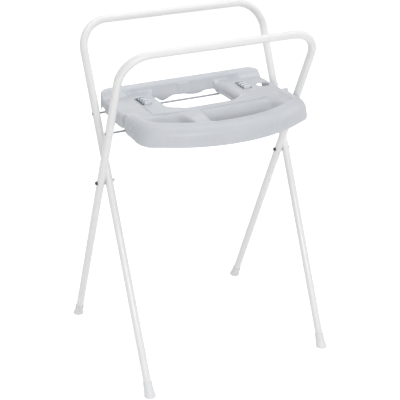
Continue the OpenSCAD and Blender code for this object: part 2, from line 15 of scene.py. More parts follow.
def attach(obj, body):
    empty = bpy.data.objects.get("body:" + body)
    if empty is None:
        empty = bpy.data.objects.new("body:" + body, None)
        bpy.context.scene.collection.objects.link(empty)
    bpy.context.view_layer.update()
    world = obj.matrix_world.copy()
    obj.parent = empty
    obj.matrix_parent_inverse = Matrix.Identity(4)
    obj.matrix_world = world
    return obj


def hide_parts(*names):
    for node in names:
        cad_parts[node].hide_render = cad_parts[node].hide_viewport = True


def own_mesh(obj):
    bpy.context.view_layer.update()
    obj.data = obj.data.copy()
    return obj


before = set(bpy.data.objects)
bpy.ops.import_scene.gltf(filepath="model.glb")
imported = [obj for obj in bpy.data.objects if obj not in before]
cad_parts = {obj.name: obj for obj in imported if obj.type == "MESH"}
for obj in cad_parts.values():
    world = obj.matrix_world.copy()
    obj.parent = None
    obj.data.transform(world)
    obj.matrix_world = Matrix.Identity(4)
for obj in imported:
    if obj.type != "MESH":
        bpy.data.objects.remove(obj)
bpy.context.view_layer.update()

# ---- sizes, as in the solids ----------------------------------------------------------

STAND_H = 0.980
PIVOT_H = 0.561          # height of the pivot axis
LEAN = math.radians(24.5)
FRAME_SHIFT = 0.0125     # sideways offset of each frame
LEG_X = 0.286            # leg centre line from the middle of its frame
BEND_R = 0.080
TUBE_R = 0.011
FOOT_SOLE = 0.009        # plastic under the tube's end, along the leg
LEG_UP = (STAND_H - TUBE_R - PIVOT_H) / math.cos(LEAN)   # pivot axis to the top bar
LEG_END = PIVOT_H / math.cos(LEAN) - FOOT_SOLE           # pivot axis to the tube's end

DECK_Z = 0.770
RIM_Z = 0.782
RIM_RISE = RIM_Z - DECK_Z
SKIRT_Z = 0.737          # lower edge of the skirt at the sides and the back
FRONT_Z = 0.726          # lower edge of the skirt round the front
DRAFT = 0.04             # how far the skirt leans in for each unit of height
EDGE_R = 0.009           # upper edge of the rim

TRAY_HALF = 0.249
TRAY_FRONT = -0.273
FRONT_R = 0.40335
CORNER_R = 0.060
ARC_Y = TRAY_FRONT + FRONT_R          # centre of the bowed front edge
CORNER_X = TRAY_HALF - CORNER_R       # centres of the front corners
CORNER_Y = ARC_Y - math.sqrt((FRONT_R - CORNER_R) ** 2 - CORNER_X ** 2)
RIM_FOOT = -0.066        # where the side rims start to rise from the deck
RIM_RAMP = 0.028         # how far forward they reach their full height
PLATFORM_FRONT = -0.102
PLATFORM_R = 1.080

OPEN_HALF = 0.107        # half width of the central opening
OPEN_REAR_HALF = 0.098
OPEN_FRONT = -0.080
OPEN_KNEE = 0.040        # where its sides begin to draw in
OPEN_REAR = 0.092
OPEN_R = 0.045
OPEN_CORNER = (OPEN_HALF - OPEN_R, OPEN_FRONT + OPEN_R)

DISH_FRONT = -0.232      # where the sloping floor meets the front rim, in the middle
TROUGH_BACK = -0.094     # upper back edge of the troughs
TROUGH_R = 0.362         # their front edge, round the centre of the bowed front
SHORT_TROUGH = (-0.214, -0.098)
LONG_TROUGH = (-0.052, 0.194)

CATCH_Y = 0.018          # place of the catches' middle

# ---- sizes of the moulded forms that only this script shows ---------------------------

ROLL_R = 0.026           # roll of the rim into the skirt
DEEPER = 0.50            # share by which the long trough is deeper than its solid
DEEPER_SHORT = 0.4       # how much of that share the short trough gets
# for the scoop at each trough end: its edge, the way inwards, the radius of its back corner
# seen from above, and how far in it reaches
TROUGH_ENDS = ((SHORT_TROUGH[1], -1, 0.055, 0.026), (LONG_TROUGH[0], 1, 0.045, 0.016),
               (LONG_TROUGH[1], -1, 0.075, 0.034))
OPEN_FULLER = 0.007      # how far the opening's front corners are filled
OPEN_LEAN = 0.008        # how far its sides lean in below the deck
DECK_ROLL = 0.005        # roll of the deck into the opening, at the front
SIDE_ROLL = 0.020        # the same roll at both sides
PLATFORM_GROOVE = 0.0030 # depth of the groove in front of the platform
PLATFORM_GROOVE_W = 0.0022
END_FLARE = 0.004        # how far both ends of the tray flare
FOOT_FLARE = 0.0045      # how much further the front corners flare at their foot
FLUTE_Y = -0.061         # upright flute before the start of the rim
FLUTE_DEPTH = 0.0045
FAINT_FLUTE_Y = -0.127   # flute of the solids that fades out downwards here
FAINT_FLUTE_R = 0.014
FAINT_FLUTE_DEPTH = 0.005
CATCH_PITCH = 0.0145     # spacing of the grooves across a catch
CATCH_GROOVE = CATCH_Y + CATCH_PITCH / 2
CATCH_GROOVE_DEPTH = 0.0032
CATCH_GROOVE_W = 0.0030
CATCH_ROOM = 0.012       # share by which a catch is shorter above its slot


# ---- materials ------------------------------------------------------------------------

def colour(red, green, blue):
    """Linear RGBA of a colour given as 0 to 255 on a screen."""
    def linear(c):
        c /= 255
        return c / 12.92 if c <= 0.04045 else ((c + 0.055) / 1.055) ** 2.4
    return (linear(red), linear(green), linear(blue), 1)


def toned(tone, factor):
    """The same colour, darker or paler by a factor."""
    return tuple(min(1.0, c * factor) for c in tone[:3]) + (1,)


class Finish:
    """A procedural material, built node by node on object coordinates."""

    def __init__(self, name, metallic=0.0, coat=0.0, coat_roughness=0.1, subsurface=0.0):
        self.material = bpy.data.materials.new(name)
        self.material.use_nodes = True
        self.nodes = self.material.node_tree.nodes
        self.links = self.material.node_tree.links
        self.shader = self.nodes["Principled BSDF"]
        self.shader.inputs["Metallic"].default_value = metallic
        self.shader.inputs["Coat Weight"].default_value = coat
        self.shader.inputs["Coat Roughness"].default_value = coat_roughness
        self.shader.inputs["Subsurface Weight"].default_value = subsurface
        self.shader.inputs["Subsurface Scale"].default_value = 0.003
        texture = self.nodes.new("ShaderNodeTexCoord")
        self.place, self.normal = texture.outputs["Object"], texture.outputs["Normal"]

    def stretched(self, scale):
        """Object coordinates stretched by scale, for grain that runs one way."""
        mapping = self.nodes.new("ShaderNodeMapping")
        mapping.inputs["Scale"].default_value = scale
        self.links.new(self.place, mapping.inputs["Vector"])
        return mapping.outputs["Vector"]

    def along(self, vector, axis):
        """One coordinate of a vector."""
        split = self.nodes.new("ShaderNodeSeparateXYZ")
        self.links.new(vector, split.inputs["Vector"])
        return split.outputs[axis]

    def calculated(self, operation, first, second):
        """One operation on first and second, where second may be a plain number."""
        node = self.nodes.new("ShaderNodeMath")
        node.operation = operation
        self.links.new(first, node.inputs[0])
        if isinstance(second, float):
            node.inputs[1].default_value = second
        else:
            self.links.new(second, node.inputs[1])
        return node.outputs["Value"]

    def noise(self, scale, detail=3.0, roughness=0.5, place=None):
        """Noise from 0 to 1 with that many features to the metre."""
        node = self.nodes.new("ShaderNodeTexNoise")
        node.inputs["Scale"].default_value = scale
        node.inputs["Detail"].default_value = detail
        node.inputs["Roughness"].default_value = roughness
        self.links.new(place or self.place, node.inputs["Vector"])
        return node.outputs["Fac"]

    def spread(self, value, low, high, start=0.3, end=0.7):
        """value, mapped from start..end to low..high."""
        node = self.nodes.new("ShaderNodeMapRange")
        for socket, number in (("From Min", start), ("From Max", end),
                               ("To Min", low), ("To Max", high)):
            node.inputs[socket].default_value = number
        self.links.new(value, node.inputs["Value"])
        return node.outputs["Result"]

    def mixed(self, share, first, second, blend="MIX"):
        """A colour between first and second."""
        node = self.nodes.new("ShaderNodeMix")
        node.data_type = "RGBA"
        node.blend_type = blend
        self.links.new(share, node.inputs["Factor"])
        for socket, value in (("A", first), ("B", second)):
            target = [i for i in node.inputs if i.name == socket and i.type == "RGBA"][0]
            if isinstance(value, tuple):
                target.default_value = value
            else:
                self.links.new(value, target)
        return [o for o in node.outputs if o.type == "RGBA"][0]

    def edges(self, low=0.505, high=0.56):
        """Share from 0 to 1 that picks out the convex edges, where handling wears them."""
        geometry = self.nodes.new("ShaderNodeNewGeometry")
        return self.spread(geometry.outputs["Pointiness"], 0, 1, low, high)

    def corner_shade(self, low=0.42, high=0.49):
        """Share that is 1 in concave corners and 0 elsewhere, for painted shade there."""
        geometry = self.nodes.new("ShaderNodeNewGeometry")
        return self.spread(geometry.outputs["Pointiness"], 1, 0, low, high)

    def painted_shade_share(self, top, bottom, steep=0.2, level=0.6):
        """Share of painted shade that grows from 0 at height top to 1 at bottom, on faces that
        look up.

        steep and level are the upward parts of the normals where it starts and is full."""
        low = self.spread(self.along(self.place, "Z"), 0, 1, top, bottom)
        upward = self.spread(self.along(self.normal, "Z"), 0, 1, steep, level)
        return self.calculated("MULTIPLY", low, upward)

    def groove_and_slot_shade(self, pitch, middle, foot):
        """Share that is 1 along upright grooves spaced by pitch in Y, and below height foot,
        where painted shade goes.
        """
        from_middle = self.calculated("SUBTRACT", self.along(self.place, "Y"), middle)
        from_groove = self.calculated("PINGPONG", from_middle, pitch / 2)
        groove = self.spread(from_groove, 1, 0, 0.0016, 0.0036)
        slot = self.spread(self.along(self.place, "Z"), 1, 0, foot - 0.0005, foot + 0.001)
        return self.calculated("MAXIMUM", groove, slot)

    def bump(self, height, depth):
        """Relief of that depth in metres; call it again to put one relief over another."""
        node = self.nodes.new("ShaderNodeBump")
        node.inputs["Distance"].default_value = depth
        self.links.new(height, node.inputs["Height"])
        below = self.shader.inputs["Normal"].links
        if below:
            self.links.new(below[0].from_socket, node.inputs["Normal"])
        self.links.new(node.outputs["Normal"], self.shader.inputs["Normal"])

    def base(self, value):
        self.links.new(value, self.shader.inputs["Base Color"])

    def rough(self, value):
        self.links.new(value, self.shader.inputs["Roughness"])


def powder_coat():
    """White powder coat: a hard gloss over fine orange peel, made a little duller by hands, with
    painted shade in concave corners.
    """
    f = Finish("powder_coat", coat=0.25, coat_roughness=0.12)
    tone = f.mixed(f.noise(14, 2), colour(239, 239, 239), colour(235, 235, 235))
    # painted shade: concave corners turn a darker grey
    f.base(f.mixed(f.corner_shade(), tone, colour(208, 208, 208)))
    f.rough(f.spread(f.noise(40, 4), 0.28, 0.40))
    f.bump(f.noise(620, 2, 0.45), 0.00006)
    return f.material


def moulded_plastic(name, light, dark, grain=1500, roughness=(0.36, 0.48), corner_shade_factor=0.82,
                    trough_shade=None, top_shade=None, rib_shade=None):
    """Matt injection-moulded plastic: spark-eroded grain, faint flow marks, paler edges, and
    painted shade in concave corners, where corner_shade_factor darkens the dark tone.

    trough_shade gives the two heights between which painted shade darkens upward faces towards
    the troughs' bottoms; top_shade the two heights between which level faces get a little
    painted shade, full below the lower one; rib_shade the pitch, the place and the foot of
    grooves and a slot that get painted shade."""
    f = Finish(name, subsurface=0.06)
    flow = f.noise(9, 3, 0.6, f.stretched((1.0, 2.2, 1.6)))
    tone = f.mixed(f.spread(flow, 0, 1, 0.35, 0.65), light, dark)
    tone = f.mixed(f.edges(), tone, toned(light, 1.05))
    # painted shade: concave corners take a darker tone
    tone = f.mixed(f.corner_shade(), tone, toned(dark, corner_shade_factor))
    # painted shade: upward faces darker towards the troughs' bottoms
    if trough_shade:
        tone = f.mixed(f.painted_shade_share(*trough_shade), tone, toned(dark, 0.78))
    # painted shade: nearly level faces at deck height and below a little darker
    if top_shade:
        share = f.painted_shade_share(*top_shade, steep=0.90, level=0.98)
        tone = f.mixed(share, tone, (0.93, 0.93, 0.93, 1), "MULTIPLY")
    # painted shade: dark bluish grey in the catch's grooves and in its slot below the deck
    if rib_shade:
        tone = f.mixed(f.groove_and_slot_shade(*rib_shade), tone, colour(134, 143, 152))
    f.base(tone)
    f.rough(f.spread(f.noise(55, 4), *roughness))
    f.bump(f.noise(grain, 2, 0.6), 0.00005)
    f.bump(flow, 0.00025)
    return f.material


def zinc_plate(name, drawn, light, dark):
    """Bright zinc on drawn steel: fine lines along the wire and cloudy passivation."""
    f = Finish(name, metallic=1.0)
    lines = f.noise(1.0, 3, 0.6, f.stretched(drawn))
    tone = f.mixed(f.spread(f.noise(70, 4, 0.65), 0, 1), light, dark)
    f.base(f.mixed(f.edges(0.52, 0.6), tone, toned(light, 1.3)))
    f.rough(f.spread(lines, 0.24, 0.42))
    f.bump(lines, 0.00004)
    return f.material


def black_steel():
    """Blackened bolt head, rubbed bright where a spanner or a sleeve touches it."""
    f = Finish("black_steel", metallic=0.85)
    tone = f.mixed(f.noise(260, 3), colour(84, 86, 90), colour(62, 63, 67))
    f.base(f.mixed(f.edges(0.53, 0.62), tone, colour(122, 124, 128)))
    f.rough(f.spread(f.noise(420, 4), 0.32, 0.5))
    f.bump(f.noise(1400, 2), 0.00003)
    return f.material


def catch_plastic(name, rib_shade=None):
    """The paler, finer plastic of the catches and of their keepers; rib_shade, when given, adds
    painted shade in grooves and slot.
    """
    return moulded_plastic(name, colour(220, 224, 229), colour(213, 217, 223), 1900,
                           (0.32, 0.44), corner_shade_factor=0.55, rib_shade=rib_shade)


PAINT = powder_coat()
# the tray's plastic, with painted shade in its troughs and on its low level faces
GREY = moulded_plastic("tray_polypropylene", colour(203, 206, 211), colour(198, 202, 207),
                       trough_shade=(0.757, 0.745), top_shade=(0.777, 0.773))
KEEPER_GREY = catch_plastic("keeper_polypropylene")
# the catches get painted shade in their grooves and in their slot
CATCH_GREY = catch_plastic("catch_polypropylene", (CATCH_PITCH, CATCH_GROOVE, DECK_Z + 0.001))
WHITE = moulded_plastic("foot_plastic", colour(236, 237, 238), colour(230, 231, 233), 1700,
                        (0.38, 0.52))
SPACER_GREY = moulded_plastic("spacer_nylon", colour(206, 208, 210), colour(198, 200, 203),
                              1800, (0.42, 0.56))
ZINC = zinc_plate("zinc_plate", (40, 900, 900), colour(166, 170, 175), colour(140, 143, 146))
NUT_ZINC = zinc_plate("nut_zinc", (500, 500, 500), colour(222, 225, 228),
                      colour(204, 207, 210))
BLACK = black_steel()


# ---- meshes ---------------------------------------------------------------------------

def placed(name, data):
    """A new object for a mesh, a lamp or a camera, in the scene."""
    obj = bpy.data.objects.new(name, data)
    bpy.context.scene.collection.objects.link(obj)
    return obj


def coordinates(mesh):
    co = np.empty(len(mesh.vertices) * 3)
    mesh.vertices.foreach_get("co", co)
    return co.reshape(-1, 3)


def set_coordinates(mesh, co):
    mesh.vertices.foreach_set("co", co.ravel())
    mesh.update()


def normals(mesh):
    n = np.empty(len(mesh.vertices) * 3)
    mesh.vertices.foreach_get("normal", n)
    return n.reshape(-1, 3)


def smoothstep(low, high, value):
    t = np.clip((value - low) / (high - low), 0, 1)
    return t * t * (3 - 2 * t)


def between(value, low, low_full, high_full, high):
    """1 from low_full to high_full, 0 below low and above high, with soft steps."""
    return smoothstep(low, low_full, value) * smoothstep(high, high_full, value)


def finished(obj, body, material):
    """Smooth shading, material and body of a piece that is otherwise complete."""
    obj.data.materials.clear()
    obj.data.materials.append(material)
    for polygon in obj.data.polygons:
        polygon.use_smooth = True
    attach(obj, body)


def weld(mesh):
    made = bmesh.new()
    made.from_mesh(mesh)
    bmesh.ops.remove_doubles(made, verts=made.verts, dist=1e-6)
    made.to_mesh(mesh)
    made.free()


def skin(node, voxel):
    """The outer skin of a CAD node as an even mesh of quads."""
    name = node + "_skin"
    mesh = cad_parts[node].data.copy()
    weld(mesh)
    rough = placed(name + "_rough", mesh)
    remesh = rough.modifiers.new("even", "REMESH")
    remesh.mode = "VOXEL"
    remesh.voxel_size = voxel
    graph = bpy.context.evaluated_depsgraph_get()
    even = bpy.data.meshes.new_from_object(rough.evaluated_get(graph))
    bpy.data.objects.remove(rough)
    even.name = name
    return placed(name, even)


def relax(mesh, rounds, weight=None, shrink=True):
    """Draws each vertex towards its neighbours. Without shrink, thin walls keep their
    thickness: each round is followed by a slightly stronger one the other way."""
    co = coordinates(mesh)
    total = len(co)
    ends = np.empty(len(mesh.edges) * 2, int)
    mesh.edges.foreach_get("vertices", ends)
    a, b = ends.reshape(-1, 2).T
    count = (np.bincount(a, minlength=total) + np.bincount(b, minlength=total))[:, None]
    share = 1.0 if weight is None else weight[:, None]
    for _ in range(rounds):
        for pull in ((0.5,) if shrink else (0.5, -0.52)):
            mean = np.stack([np.bincount(a, co[b, k], total) + np.bincount(b, co[a, k], total)
                             for k in range(3)], axis=1) / count
            co += (mean - co) * pull * share
    set_coordinates(mesh, co)


# ---- frames ---------------------------------------------------------------------------

def tube_path():
    """Centre line of a frame in its own plane, from the left leg's end to the right one's."""
    leg_steps, bend_steps, bar_steps = 24, 20, 6
    straight = LEG_X - BEND_R
    path = [(-LEG_X, -LEG_END + (LEG_END + LEG_UP - BEND_R) * i / leg_steps)
            for i in range(leg_steps)]
    for i in range(bend_steps + 1):
        turn = math.pi / 2 * i / bend_steps
        path.append((-straight - BEND_R * math.cos(turn),
                     LEG_UP - BEND_R + BEND_R * math.sin(turn)))
    path += [(-straight + straight * i / bar_steps, LEG_UP) for i in range(1, bar_steps)]
    return path + [(0, LEG_UP)] + [(-x, z) for x, z in reversed(path)]


def frame_tube(node, body, side):
    """The bent tube as one smooth sweep; side 1 leans its top back, -1 leans it forward."""
    around = 40
    path = tube_path()
    made = bmesh.new()
    rings = []
    for i, (x, z) in enumerate(path):
        before, after = path[max(i - 1, 0)], path[min(i + 1, len(path) - 1)]
        along = Vector((after[0] - before[0], 0, after[1] - before[1])).normalized()
        across = Vector((along.z, 0, -along.x))
        ring = []
        for k in range(around):
            turn = 2 * math.pi * k / around
            spoke = math.cos(turn) * across + math.sin(turn) * Vector((0, 1, 0))
            ring.append(made.verts.new(Vector((x, 0, z)) + TUBE_R * spoke))
        rings.append(ring)
    for one, two in zip(rings, rings[1:]):
        for k in range(around):
            made.faces.new((one[k], one[(k + 1) % around], two[(k + 1) % around], two[k]))
    for ring in (rings[0], rings[-1]):
        made.faces.new(ring)
    bmesh.ops.recalc_face_normals(made, faces=made.faces)
    made.transform(Matrix.Translation((side * FRAME_SHIFT, 0, PIVOT_H))
                   @ Matrix.Rotation(-side * LEAN, 4, "X"))
    mesh = bpy.data.meshes.new(body + "_tube")
    made.to_mesh(mesh)
    made.free()
    obj = placed(body + "_tube", mesh)
    finished(obj, body, PAINT)
    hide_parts(node)


frame_tube("rear_frame_tube", "rear_frame", 1)
frame_tube("front_frame_tube", "front_frame", -1)

FEET = {"foot_rear_left": "front_frame", "foot_rear_right": "front_frame",
        "foot_front_left": "rear_frame", "foot_front_right": "rear_frame"}
for node, body in FEET.items():
    foot = skin(node, voxel=0.0007)
    relax(foot.data, 4)
    finished(foot, body, WHITE)
    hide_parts(node)


# ---- tray -----------------------------------------------------------------------------
#
# Most steps below move the inner and the outer face of the wall together. Where a step is
# given side, x, y and z, these are each vertex's side of the middle (1 or -1), its distance
# from the middle, its place along Y and its height.

def spots(co):
    """side, x, y and z of every vertex."""
    return np.sign(co[:, 0]), np.abs(co[:, 0]), co[:, 1].copy(), co[:, 2].copy()


def ahead_of_platform(x, y):
    """Distance in front of the bath platform's bowed edge."""
    return np.hypot(x, y - PLATFORM_FRONT - PLATFORM_R) - PLATFORM_R


def behind_front_rim(x, y):
    """Distance inwards from the inner edge of the bowed front rim."""
    return TROUGH_R - np.hypot(x, y - ARC_Y)


def rim_ramp(y):
    """Share of the rim's rise at each place along the sides, in the solids."""
    return np.clip((RIM_FOOT - y) / RIM_RAMP, 0, 1)


def outside_opening(x, y):
    """Distance outwards from the edge of the central opening, for x from the middle."""
    corner = [(OPEN_CORNER[0] + OPEN_R * math.sin(t), OPEN_CORNER[1] - OPEN_R * math.cos(t))
              for t in np.linspace(0, math.pi / 2, 12)]
    outline = ([(0.0, OPEN_FRONT)] + corner
               + [(OPEN_HALF, OPEN_KNEE), (OPEN_REAR_HALF, OPEN_REAR)])
    nearest = np.full(len(x), 1.0)
    for (x0, y0), (x1, y1) in zip(outline, outline[1:]):
        run = np.array((x1 - x0, y1 - y0))
        t = np.clip(((x - x0) * run[0] + (y - y0) * run[1]) / (run @ run), 0, 1)
        nearest = np.minimum(nearest, np.hypot(x - x0 - t * run[0], y - y0 - t * run[1]))
    return nearest


def inside_outline(x, y):
    """Distance inwards from the tray's outline at its front half, and the way inwards."""
    from_corner = np.hypot(x - CORNER_X, y - CORNER_Y)
    from_arc = np.hypot(x, y - ARC_Y)
    beside = y > CORNER_Y
    turned = ~beside & (x * (ARC_Y - CORNER_Y) > CORNER_X * (ARC_Y - y))
    far = np.where(turned, CORNER_R - from_corner, FRONT_R - from_arc)
    far = np.where(beside, TRAY_HALF - x, far)
    way_x = np.where(turned, (CORNER_X - x) / np.maximum(from_corner, 1e-6), -x / from_arc)
    way_y = np.where(turned, (CORNER_Y - y) / np.maximum(from_corner, 1e-6),
                     (ARC_Y - y) / from_arc)
    return far, np.where(beside, -1.0, way_x), np.where(beside, 0.0, way_y)


def rounded(radius, along):
    """How far a square edge draws in, diagonally, to become a round one of that radius."""
    t = np.minimum(np.abs(along), radius)
    return ((2 * radius - t) - np.sqrt((2 * radius - t) ** 2 - 2 * (radius - t) ** 2)) / 2


def deepen_troughs(co, n):
    """Deeper troughs with scooped ends; the long one's left end widens to the front."""
    x, y = co[:, 0].copy(), co[:, 1]    # x from left to right here
    behind = behind_front_rim(x, y)
    sloped = np.clip((y - DISH_FRONT) / (TROUGH_BACK - DISH_FRONT), 0, 1)
    surface = RIM_Z - RIM_RISE * sloped
    short = between(x, SHORT_TROUGH[0] - 0.010, SHORT_TROUGH[0] - 0.005,
                    SHORT_TROUGH[1] + 0.005, SHORT_TROUGH[1] + 0.010)
    long = between(x, LONG_TROUGH[0] - 0.010, LONG_TROUGH[0] - 0.005,
                   LONG_TROUGH[1] + 0.006, LONG_TROUGH[1] + 0.012)
    here = ((DEEPER_SHORT * short + long) * smoothstep(-0.016, -0.008, behind)
            * smoothstep(TROUGH_BACK + 0.006, TROUGH_BACK - 0.002, y))
    depth = np.maximum(surface - co[:, 2], 0)
    co[:, 2] -= DEEPER * depth * smoothstep(0.012, 0.032, depth) * here

    # each end rises in a scoop, with a wide curve at its back corner
    upper = smoothstep(-0.15, 0.05, n[:, 2]) * smoothstep(0.739, 0.741, co[:, 2])
    for edge, way, wide, run in TROUGH_ENDS:
        back = np.clip(wide + y - TROUGH_BACK, 0, wide)
        from_edge = (x - edge) * way
        inward = from_edge - (wide - np.sqrt(wide ** 2 - back ** 2))
        depth = np.maximum(surface - co[:, 2], 0)
        rise = (1 - smoothstep(-0.006, run, inward)) * smoothstep(-0.0015, 0.0015, behind)
        near = between(from_edge, -0.0025, -0.0005, 0.080, 0.090)
        co[:, 2] += depth * rise * near * upper * smoothstep(TROUGH_BACK, TROUGH_BACK - 0.002, y)

    forward = np.clip((-0.150 - y) / 0.060, 0, 1)
    left_end = between(x, -0.080, -0.058, -0.040, 0.030)
    co[:, 0] -= 0.016 * forward * left_end * smoothstep(-0.022, -0.010, behind)


def roll_rim(co, side, x, y, z):
    """The rim rolls over into the skirt with a wide radius."""
    far, way_x, way_y = inside_outline(x, y)
    far = far - DRAFT * (z - FRONT_Z)
    down = DECK_Z + RIM_RISE * rim_ramp(y) - z
    draw = rounded(ROLL_R, far - down) - rounded(EDGE_R, far - down)
    draw *= smoothstep(0.013, 0.007, np.minimum(far, down)) * smoothstep(-0.070, -0.094, y)
    co[:, 0] += side * way_x * draw
    co[:, 1] += way_y * draw
    co[:, 2] -= draw


def shape_opening(co, side, x, y, z):
    """Fuller front corners, sides that lean in below the deck, and a rolled edge."""
    out = outside_opening(x, y)
    ahead = np.minimum(y - OPEN_CORNER[1], 0)
    beside = np.maximum(x - OPEN_CORNER[0], 0)
    reach = np.maximum(np.hypot(beside, ahead), 0.010)
    aside = beside / reach
    fuller = OPEN_FULLER * 4 * (aside * ahead / reach) ** 2
    lean = OPEN_LEAN * smoothstep(0.768, 0.748, z) * aside ** 2
    pull = (fuller + lean) * smoothstep(0.040, 0.004, out) * smoothstep(0.085, 0.050, y)
    co[:, 0] -= side * pull * aside
    co[:, 1] -= pull * ahead / reach

    # the deck rolls down into the opening, widely at both sides
    roll = DECK_ROLL + (SIDE_ROLL - DECK_ROLL) * aside ** 2
    near = np.clip(roll - out, 0, roll)
    fall = roll - np.sqrt(roll ** 2 - near ** 2)
    co[:, 2] -= fall * smoothstep(0.748, 0.764, z) * smoothstep(0.089, 0.078, y)


def flare_ends(co, side, x, y, z):
    """Both ends of the tray flare a little, and the front corners more towards their foot."""
    corner = smoothstep(DECK_Z, 0.730, z) * smoothstep(RIM_FOOT, -0.100, y)
    co[:, 0] += side * (END_FLARE + FOOT_FLARE * corner) * smoothstep(0.196, 0.244, x)


def groove_platform(co, n, x, y, z):
    """A shallow groove in front of the platform."""
    gap = ahead_of_platform(x, y)
    upper = smoothstep(0.3, 0.8, n[:, 2]) * smoothstep(0.763, 0.767, z)
    groove = np.exp(-((gap - 0.0025) / PLATFORM_GROOVE_W) ** 2) * smoothstep(0.236, 0.226, x)
    co[:, 2] -= PLATFORM_GROOVE * groove * upper


def steepen_rim_start(co, x, y, z):
    """The side rims start with a short steep rise."""
    early = smoothstep(-0.063, -0.078, y) - rim_ramp(y)
    co[:, 2] += RIM_RISE * early * smoothstep(0.212, 0.222, x) * smoothstep(0.752, 0.768, z)


def flute_walls(co, side, x, y, z):
    """One deeper upright flute in both side walls, and one that fades out downwards."""
    wall = smoothstep(0.225, 0.238, x)
    wide = np.clip(1 - ((y - FLUTE_Y) / 0.014) ** 2, 0, 1) ** 2
    core = np.clip(1 - ((y - FLUTE_Y + 0.001) / 0.009) ** 2, 0, 1)
    co[:, 0] -= side * FLUTE_DEPTH * (wide + 1.4 * core) * wall * smoothstep(0.781, 0.768, z)

    aside = np.clip(y - FAINT_FLUTE_Y, -0.0108, 0.0108)
    fall = FAINT_FLUTE_R - np.sqrt(FAINT_FLUTE_R ** 2 - aside ** 2)
    faint = np.clip(FAINT_FLUTE_DEPTH - fall, 0, 1)
    co[:, 0] += side * 0.9 * faint * wall * smoothstep(0.764, 0.738, z)


def even_skirt(co, x, y, z):
    """The lower edge of the skirt falls evenly towards the front, without a step."""
    before = np.interp(y, (-0.106, -0.094), (FRONT_Z, SKIRT_Z))
    after = np.interp(y, (-0.200, -0.150, -0.020, 0.055), (0.7265, 0.7325, 0.7325, SKIRT_Z))
    skirt = (smoothstep(0.228, 0.236, x) * smoothstep(-0.205, -0.190, y)
             + smoothstep(-0.190, -0.205, y))
    drop = (DECK_Z - z) * (1 - (DECK_Z - after) / (DECK_Z - before))
    co[:, 2] += drop * skirt * (z < DECK_Z)


def reshape_tray(co, n):
    """Rolled edges, flutes and the run of the skirt, too soft or too shallow for the solids."""
    deepen_troughs(co, n)
    roll_rim(co, *spots(co))
    side, x, y, z = spots(co)
    shape_opening(co, side, x, y, z)
    flare_ends(co, side, x, y, z)
    groove_platform(co, n, x, y, z)
    steepen_rim_start(co, x, y, z)
    flute_walls(co, side, x, y, z)
    even_skirt(co, x, y, z)


def soften_tray(mesh):
    """Moulded edges all over, and long soft blends where the dish meets rim and troughs."""
    relax(mesh, 2, shrink=False)
    co, n = coordinates(mesh), normals(mesh)
    x, y, z = np.abs(co[:, 0]), co[:, 1], co[:, 2]
    behind = behind_front_rim(x, y)
    upper = smoothstep(-0.1, 0.1, n[:, 2]) * smoothstep(0.744, 0.748, z)
    inside = upper * smoothstep(0.245, 0.238, x)
    dish = (inside * smoothstep(0.002, 0.010, ahead_of_platform(x, y))
            * smoothstep(0.002, 0.010, behind))
    tub = (inside * smoothstep(DECK_Z, 0.762, z) * smoothstep(-0.100, -0.110, y)
           * smoothstep(0.006, 0.014, behind))
    scoop = inside * smoothstep(0.158, 0.168, x) * between(y, 0.048, 0.058, 0.104, 0.112)
    peak = (upper * between(x, 0.088, 0.098, 0.134, 0.152)
            * between(y, 0.064, 0.078, 0.102, 0.112))
    relax(mesh, 60, dish)
    relax(mesh, 30, tub)
    relax(mesh, 30, np.maximum(scoop, peak))

    co = coordinates(mesh)
    reshape_tray(co, normals(mesh))
    set_coordinates(mesh, co)
    x, y = co[:, 0], co[:, 1]
    inner = smoothstep(0.004, 0.010, behind_front_rim(x, y))
    brink = (upper * inner * between(x, -0.092, -0.084, -0.048, -0.040)
             * smoothstep(-0.096, -0.106, y))
    flank = (inside * inner * smoothstep(0.186, 0.196, np.abs(x))
             * smoothstep(-0.062, -0.072, y))
    relax(mesh, 12, np.clip(tub + dish, 0, 1))
    relax(mesh, 50, np.maximum(brink, flank))
    relax(mesh, 3)


tray = skin("tray", voxel=0.0014)
soften_tray(tray.data)
finished(tray, "tray", GREY)
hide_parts("tray")


# ---- catches --------------------------------------------------------------------------

def groove_catch(mesh):
    """Finger grooves over a catch and down both long faces, and running room at its ends."""
    co, n = coordinates(mesh), normals(mesh)
    off = (co[:, 1] - CATCH_GROOVE + CATCH_PITCH / 2) % CATCH_PITCH - CATCH_PITCH / 2
    depth = CATCH_GROOVE_DEPTH * np.exp(-(off / CATCH_GROOVE_W) ** 2)
    depth *= smoothstep(DECK_Z, DECK_Z + 0.002, co[:, 2])
    co[:, 0] -= np.sign(n[:, 0]) * depth * smoothstep(0.6, 0.9, np.abs(n[:, 0]))
    co[:, 2] -= 0.7 * depth * smoothstep(0.5, 0.8, n[:, 2])
    co[:, 1] -= CATCH_ROOM * (co[:, 1] - CATCH_Y) * (co[:, 2] > DECK_Z - 0.006)
    set_coordinates(mesh, co)


def catch_block(side):
    """One sliding catch, softened and grooved."""
    catch = skin("catch_" + side, voxel=0.0006)
    relax(catch.data, 4)
    groove_catch(catch.data)
    relax(catch.data, 1)
    finished(catch, "catch_" + side, CATCH_GREY)
    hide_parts("catch_" + side)


def catch_coil(side):
    """The catch's spring, shown as in the solids; the real one shortens against its post as the
    catch is pushed.
    """
    node = "catch_spring_" + side
    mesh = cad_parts[node].data.copy()
    weld(mesh)
    coil = placed(node + "_coil", mesh)
    finished(coil, "tray", NUT_ZINC)
    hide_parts(node)
    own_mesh(coil)


for side in ("left", "right"):
    catch_block(side)
catch_coil("left")
catch_coil("right")


# ---- solids that show as they are -----------------------------------------------------

